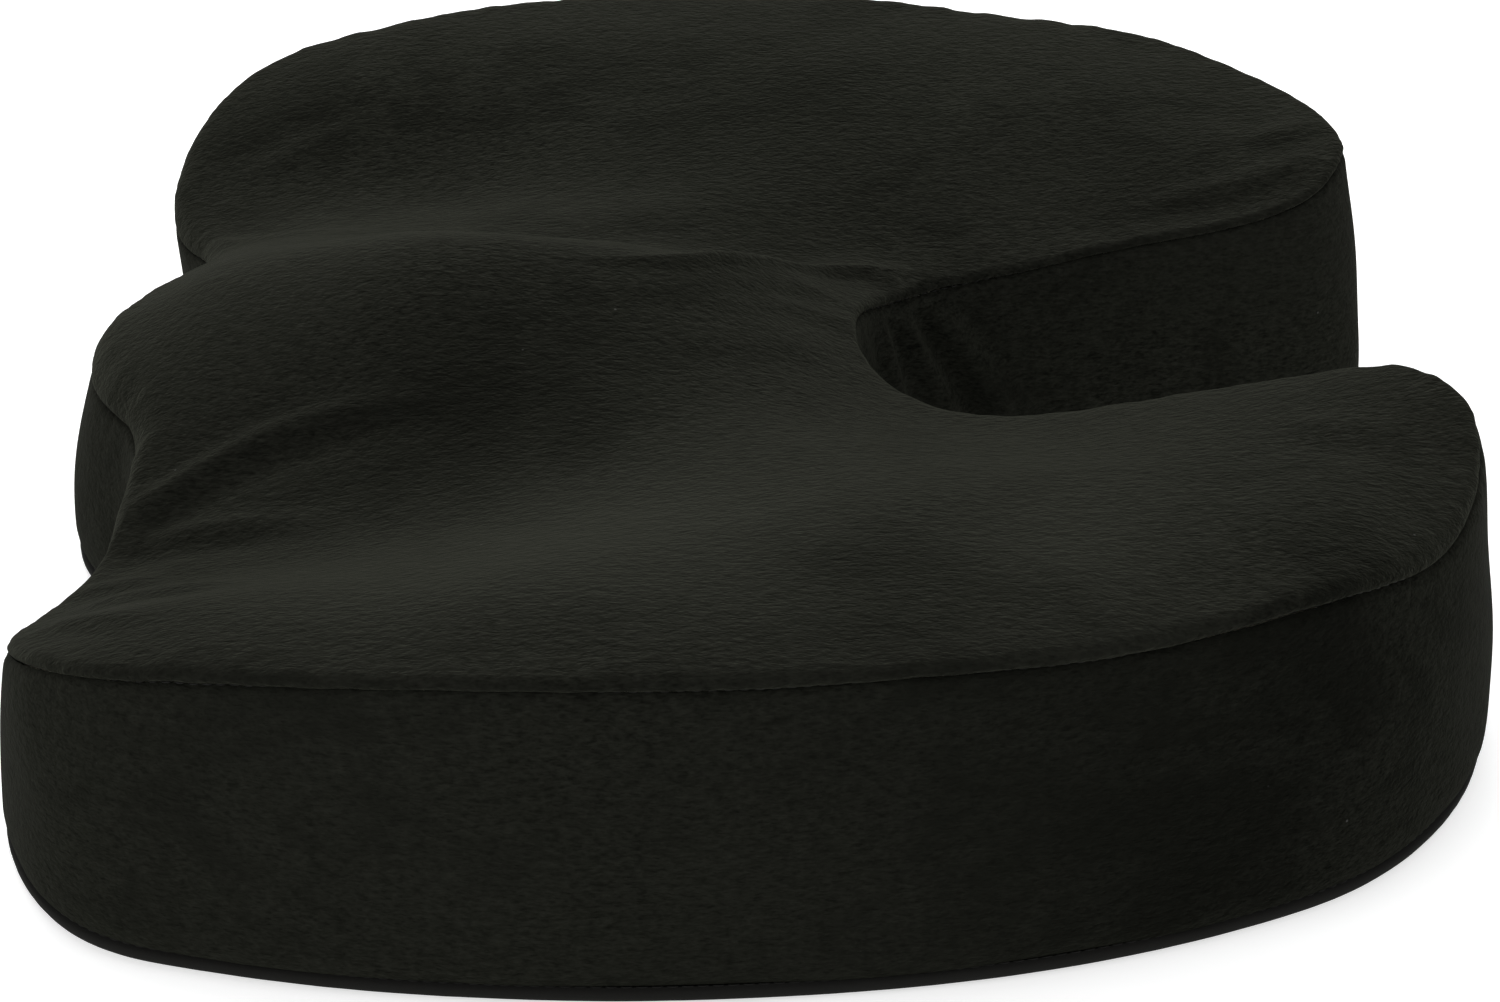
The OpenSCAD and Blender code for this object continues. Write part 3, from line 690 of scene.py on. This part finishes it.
coils = [coil_row("zipper_teeth_upper", "zipper_coil_upper", 1, 0.0),
         coil_row("zipper_teeth_lower", "zipper_coil_lower", -1, np.pi)]

# ---------------------------------------------------------------- grip dots
DOT_R, DOT_PITCH, DOT_SIDES = 2.5, 24.0, 20
row = np.arange(-9, 10)
dx, dy = np.meshgrid(np.arange(-11, 12) * DOT_PITCH, row * DOT_PITCH * np.sin(np.pi / 3))
dx = dx + (np.abs(row) % 2)[:, None] * DOT_PITCH / 2
dx, dy = dx.ravel(), dy.ravel()
keep = inside_by(dx, dy, P) > 2 * DOT_R + 4
# Rings of a dome from the cloth down to the floor: radius and height
dome = [(DOT_R + 0.25, 0.5), (DOT_R, 0.36), (DOT_R - 0.35, 0.17), (DOT_R * 0.6, 0.05), (DOT_R * 0.25, 0.01)]
ph = 2 * np.pi * np.arange(DOT_SIDES) / DOT_SIDES
v, f = [], []
for x, y in zip(dx[keep], dy[keep]):
    base = len(v) * DOT_SIDES
    v += [np.column_stack([x + r * np.cos(ph), y + r * np.sin(ph), z + 0 * ph]) for r, z in dome]
    f += [tuple(base + q[::-1]) for q in strip_faces(len(dome), DOT_SIDES)]
    f.append(tuple(base + (len(dome) - 1) * DOT_SIDES + np.arange(DOT_SIDES)[::-1]))
dots = new_mesh("grip_dots_domed", np.concatenate(v), f)
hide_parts("grip_dots")

# ---------------------------------------------------------------- materials
def material(name):
    """A new material, its nodes, its links and its shader."""
    m = bpy.data.materials.new(name)
    m.use_nodes = True
    t = m.node_tree
    return m, t.nodes, t.links, t.nodes["Principled BSDF"]


def mapped(n, l, cell):
    """Object coordinates stretched so that a noise of scale 1 has cells of this size in millimetres."""
    coords = n.new("ShaderNodeTexCoord").outputs["Object"]
    mp = n.new("ShaderNodeMapping")
    mp.inputs["Scale"].default_value = [1000.0 / s for s in cell]
    l.new(coords, mp.inputs["Vector"])
    return mp.outputs["Vector"]


def noise(n, l, vec, detail=3.0, rough=0.6, distort=0.0):
    t = n.new("ShaderNodeTexNoise")
    t.inputs["Scale"].default_value = 1.0
    t.inputs["Detail"].default_value = detail
    t.inputs["Roughness"].default_value = rough
    t.inputs["Distortion"].default_value = distort
    l.new(vec, t.inputs["Vector"])
    return t.outputs["Fac"]


def span(n, l, fac, lo, hi, out_lo=0.0, out_hi=1.0):
    """The range lo to hi mapped to out_lo to out_hi."""
    t = n.new("ShaderNodeMapRange")
    t.inputs["From Min"].default_value = lo
    t.inputs["From Max"].default_value = hi
    t.inputs["To Min"].default_value = out_lo
    t.inputs["To Max"].default_value = out_hi
    l.new(fac, t.inputs["Value"])
    return t.outputs["Result"]


def math(n, l, op, a, b):
    t = n.new("ShaderNodeMath")
    t.operation = op
    for i, v in enumerate([a, b]):
        if isinstance(v, (int, float)):
            t.inputs[i].default_value = v
        else:
            l.new(v, t.inputs[i])
    return t.outputs[0]


def blend(n, l, parts):
    """The sum of outputs, each times its share."""
    total = None
    for share, out in parts:
        part = math(n, l, "MULTIPLY", out, share)
        total = part if total is None else math(n, l, "ADD", total, part)
    return total


def times(color, k):
    return tuple(c * k for c in color)


def mix(n, l, fac, a, b):
    t = n.new("ShaderNodeMix")
    t.data_type = "RGBA"
    l.new(fac, t.inputs[0])
    for i, v in ((6, a), (7, b)):
        if isinstance(v, (tuple, list)):
            t.inputs[i].default_value = (*v, 1)
        else:
            l.new(v, t.inputs[i])
    return t.outputs[2]


def bump(n, l, height, strength, dist, normal=None):
    t = n.new("ShaderNodeBump")
    t.inputs["Strength"].default_value = strength
    t.inputs["Distance"].default_value = dist * MM
    l.new(height, t.inputs["Height"])
    if normal is not None:
        l.new(normal, t.inputs["Normal"])
    return t.outputs["Normal"]


def plush(name, base, sheen, lie):
    """Short-pile plush. lie is the (x, y, z) size of a tuft, longest the way the pile lies."""
    m, n, l, bsdf = material(name)
    tufts = noise(n, l, mapped(n, l, lie), 1.5)
    hairs = noise(n, l, mapped(n, l, [v * 0.45 for v in lie]), 2.0)
    clumps = noise(n, l, mapped(n, l, [v * s for v, s in zip(lie, (2.4, 1.7, 2.4))]), 2.0, 0.55, 0.2)
    patches = noise(n, l, mapped(n, l, (34, 48, 34)), 3.0, 0.6, 1.2)
    broad = noise(n, l, mapped(n, l, (120, 150, 110)), 1.0, 0.5, 0.4)
    # colour: fibre tips painted lighter as if catching the light and the gaps between them painted darker as
    # shade, a fine grain of painted light; patches darker still, at random and where pile shade is painted
    shade = blend(n, l, [(0.45, tufts), (0.30, hairs), (0.25, clumps)])
    tip = span(n, l, shade, 0.36, 0.64)
    col = mix(n, l, tip, times(base, 0.30), times(base, 1.76))
    # the painted pile shade at each point: 1 is painted shade, -1 painted light
    attribute = n.new("ShaderNodeAttribute")
    attribute.attribute_name = "painted_pile_shade"
    painted_pile_shade = attribute.outputs["Fac"]
    # patches of random tone, pushed darker where pile shade is painted
    patches = math(n, l, "ADD", patches, math(n, l, "MULTIPLY", painted_pile_shade, 0.12))
    patches_and_pile_shade = span(n, l, patches, 0.52, 0.66, 0.0, 0.62)
    col = mix(n, l, patches_and_pile_shade, col, times(base, 0.45))
    col = mix(n, l, span(n, l, broad, 0.35, 0.65, 0.0, 0.35), col, times(base, 1.5))
    # painted shade and painted light: pile marked as lying away from the light is painted darker, and pile
    # lying towards it is painted lighter
    col = mix(n, l, span(n, l, painted_pile_shade, 0.0, 1.0, 0.0, 0.5), col, times(base, 0.30))
    col = mix(n, l, span(n, l, painted_pile_shade, 0.0, -1.0, 0.0, 0.5), col, times(base, 2.6))
    # lint: rare pale specks
    speck = n.new("ShaderNodeTexVoronoi")
    speck.inputs["Scale"].default_value = 1.0
    l.new(mapped(n, l, (9.0, 9.0, 9.0)), speck.inputs["Vector"])
    middle = span(n, l, speck.outputs["Distance"], 0.022, 0.045, 1.0, 0.0)
    sep = n.new("ShaderNodeSeparateColor")
    l.new(speck.outputs["Color"], sep.inputs[0])
    rare = span(n, l, sep.outputs[0], 0.90, 0.92)
    lint = math(n, l, "MULTIPLY", math(n, l, "MULTIPLY", middle, rare), 0.5)
    col = mix(n, l, lint, col, (0.10, 0.10, 0.095))
    l.new(col, bsdf.inputs["Base Color"])
    l.new(span(n, l, tufts, 0.3, 0.7, 0.78, 0.95), bsdf.inputs["Roughness"])
    bsdf.inputs["Specular IOR Level"].default_value = 0.006
    bsdf.inputs["Sheen Weight"].default_value = sheen
    bsdf.inputs["Sheen Roughness"].default_value = 0.45
    bsdf.inputs["Sheen Tint"].default_value = (0.95, 1.0, 0.76, 1)
    bsdf.inputs["Specular Tint"].default_value = (0.95, 1.0, 0.78, 1)
    rough_way = bump(n, l, clumps, 0.55, 1.2)
    fine_way = bump(n, l, blend(n, l, [(0.7, tufts), (0.3, hairs)]), 0.9, 0.65, rough_way)
    l.new(fine_way, bsdf.inputs["Normal"])
    return m


plush_top = plush("plush_top", (0.0080, 0.0083, 0.0066), 0.045, (0.95, 2.3, 0.8))
plush_side = plush("plush_side", (0.0086, 0.0090, 0.0071), 0.018, (1.2, 2.2, 0.85))
cover_top.data.materials.append(plush_top)


def paint_pile_shade(ob, strokes):
    """Paints pile shade into a weight at each point: 1 where the pile lies away from the light and is
    painted darker, -1 where it lies towards it and is painted lighter. The strokes are dabs.
    """
    at = np.empty(3 * len(ob.data.vertices))
    ob.data.vertices.foreach_get("co", at)
    at = at.reshape(-1, 3) / MM
    weight(ob, "painted_pile_shade", np.clip(dabs(strokes, at[:, 0], at[:, 1]), -1, 1))


# painted pile shade on the band and the top: dabs of painted shade (positive) and painted light (negative)
paint_pile_shade(side_band, [(0.9, 170, 90, 70, 75), (-0.15, 215, -60, 60, 70)])
paint_pile_shade(cover_top, [
    (0.9, 62, -62, 42, 34), (0.6, 120, -128, 30, 22), (-0.8, 128, -20, 42, 46), (-0.3, 172, -60, 30, 50),
    (0.5, 166, -126, 34, 22), (0.5, 168, 30, 22, 14), (-0.6, 150, 76, 40, 24), (0.35, 150, 134, 36, 18),
    (0.7, -115, 10, 80, 50), (0.5, -95, 110, 50, 26), (-0.4, 20, -110, 30, 30), (-0.3, 8, -160, 40, 20),
])
for ob in [side_band, upper, lower] + end_patches:
    ob.data.materials.append(plush_side)


def plain(name, color, rough, cell=0.8, depth=0.1, gloss=0.5):
    """A material with a fine grain: cell is the grain's size and depth its relief, both in millimetres."""
    m, n, l, bsdf = material(name)
    f = noise(n, l, mapped(n, l, (cell, cell, cell)))
    l.new(mix(n, l, f, times(color, 0.75), times(color, 1.3)), bsdf.inputs["Base Color"])
    l.new(span(n, l, f, 0.3, 0.7, rough - 0.08, rough + 0.08), bsdf.inputs["Roughness"])
    bsdf.inputs["Specular IOR Level"].default_value = gloss
    l.new(bump(n, l, f, 0.4, depth), bsdf.inputs["Normal"])
    return m


backing = plain("backing_cloth", (0.0115, 0.0115, 0.0105), 0.85, 0.7, 0.2, gloss=0.06)
thread = plain("sewing_thread", (0.009, 0.009, 0.008), 0.6, 0.4, 0.08, gloss=0.15)
rubber = plain("grip_rubber", (0.030, 0.030, 0.029), 0.55)
tape = plain("zipper_tape", (0.013, 0.013, 0.013), 0.8, 0.6, 0.1, gloss=0.2)
coil = plain("zipper_coil", (0.016, 0.016, 0.016), 0.4, 0.6, 0.03)
metal = plain("zipper_enamel", (0.02, 0.02, 0.021), 0.32, 3, 0.02)
foam = plain("foam", (0.68, 0.62, 0.48), 0.9, 1.2, 0.4)

# The CAD nodes that keep their shapes
shown = {name: metal for name in ("zipper_slider", "zipper_pull", "zipper_top_stops", "zipper_bottom_stop")}
shown.update({name: tape for name in ("zipper_tape_upper", "zipper_tape_lower")})
for name, look in shown.items():
    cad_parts[name].data.materials.clear()
    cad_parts[name].data.materials.append(look)

bottom.data.materials.append(backing)
foam_block.data.materials.append(foam)
dots.data.materials.append(rubber)
for ob in coils:
    ob.data.materials.append(coil)
for ob in [seam_top, seam_low] + join_rows + tape_rows:
    ob.data.materials.append(thread)

# ---------------------------------------------------------------- stage
bpy.ops.mesh.primitive_plane_add(size=12, location=(0, 0, 0))
floor = bpy.context.object
floor.name = "floor"
floor_look, _, _, bsdf = material("pale_floor")
bsdf.inputs["Base Color"].default_value = (0.72, 0.72, 0.72, 1)
bsdf.inputs["Roughness"].default_value = 0.9
bsdf.inputs["Specular IOR Level"].default_value = 0.1
bsdf.inputs["Emission Color"].default_value = (1, 1, 1, 1)
bsdf.inputs["Emission Strength"].default_value = 0.62
floor.data.materials.append(floor_look)

# White for the camera, and a dimmer even light on the cushion
world = bpy.data.worlds.new("studio")
bpy.context.scene.world = world
world.use_nodes = True
n, l = world.node_tree.nodes, world.node_tree.links
white = n["Background"]
white.inputs["Color"].default_value = (1, 1, 1, 1)
white.inputs["Strength"].default_value = 1.0
fill_light = n.new("ShaderNodeBackground")
fill_light.inputs["Color"].default_value = (1, 1, 1, 1)
fill_light.inputs["Strength"].default_value = 0.36
rays, both = n.new("ShaderNodeLightPath"), n.new("ShaderNodeMixShader")
l.new(rays.outputs["Is Camera Ray"], both.inputs[0])
l.new(fill_light.outputs[0], both.inputs[1])
l.new(white.outputs[0], both.inputs[2])
l.new(both.outputs[0], n["World Output"].inputs["Surface"])


def soft_box(name, place, size, power):
    """A rectangular light turned to the cushion's middle. Metres and watts."""
    lamp = bpy.data.lights.new(name, "AREA")
    lamp.shape = "RECTANGLE"
    lamp.size, lamp.size_y = size
    lamp.energy = power
    ob = bpy.data.objects.new(name, lamp)
    bpy.context.scene.collection.objects.link(ob)
    ob.location = place
    ob.rotation_euler = (Vector((0, 0, 0.05)) - Vector(place)).to_track_quat("-Z", "Y").to_euler()


soft_box("overhead", (-0.5, -0.2, 1.8), (1.6, 1.6), 21)
soft_box("behind", (-1.7, -0.3, 0.95), (2.0, 0.9), 17)
soft_box("front_fill", (1.2, -1.5, 0.9), (1.2, 0.9), 10)
soft_box("notch_fill", (0.7, 1.7, 0.8), (0.8, 0.6), 6)

# ---------------------------------------------------------------- camera
cam = bpy.data.cameras.new("camera")
cam.sensor_width = 36
cam.lens = 79.3
cam.clip_start = 0.01
eye = bpy.data.objects.new("camera", cam)
bpy.context.scene.collection.objects.link(eye)
EL, YAW, DIST = np.radians(26.25), np.radians(0.2), 0.881
aim = Vector((0, 0.00054, 0.01))
back = Vector((np.cos(EL) * np.cos(YAW), np.cos(EL) * np.sin(YAW), np.sin(EL)))
eye.location = aim + DIST * back
eye.rotation_euler = (-back).to_track_quat("-Z", "Y").to_euler()
bpy.context.scene.camera = eye
bpy.context.scene.view_settings.view_transform = "Standard"
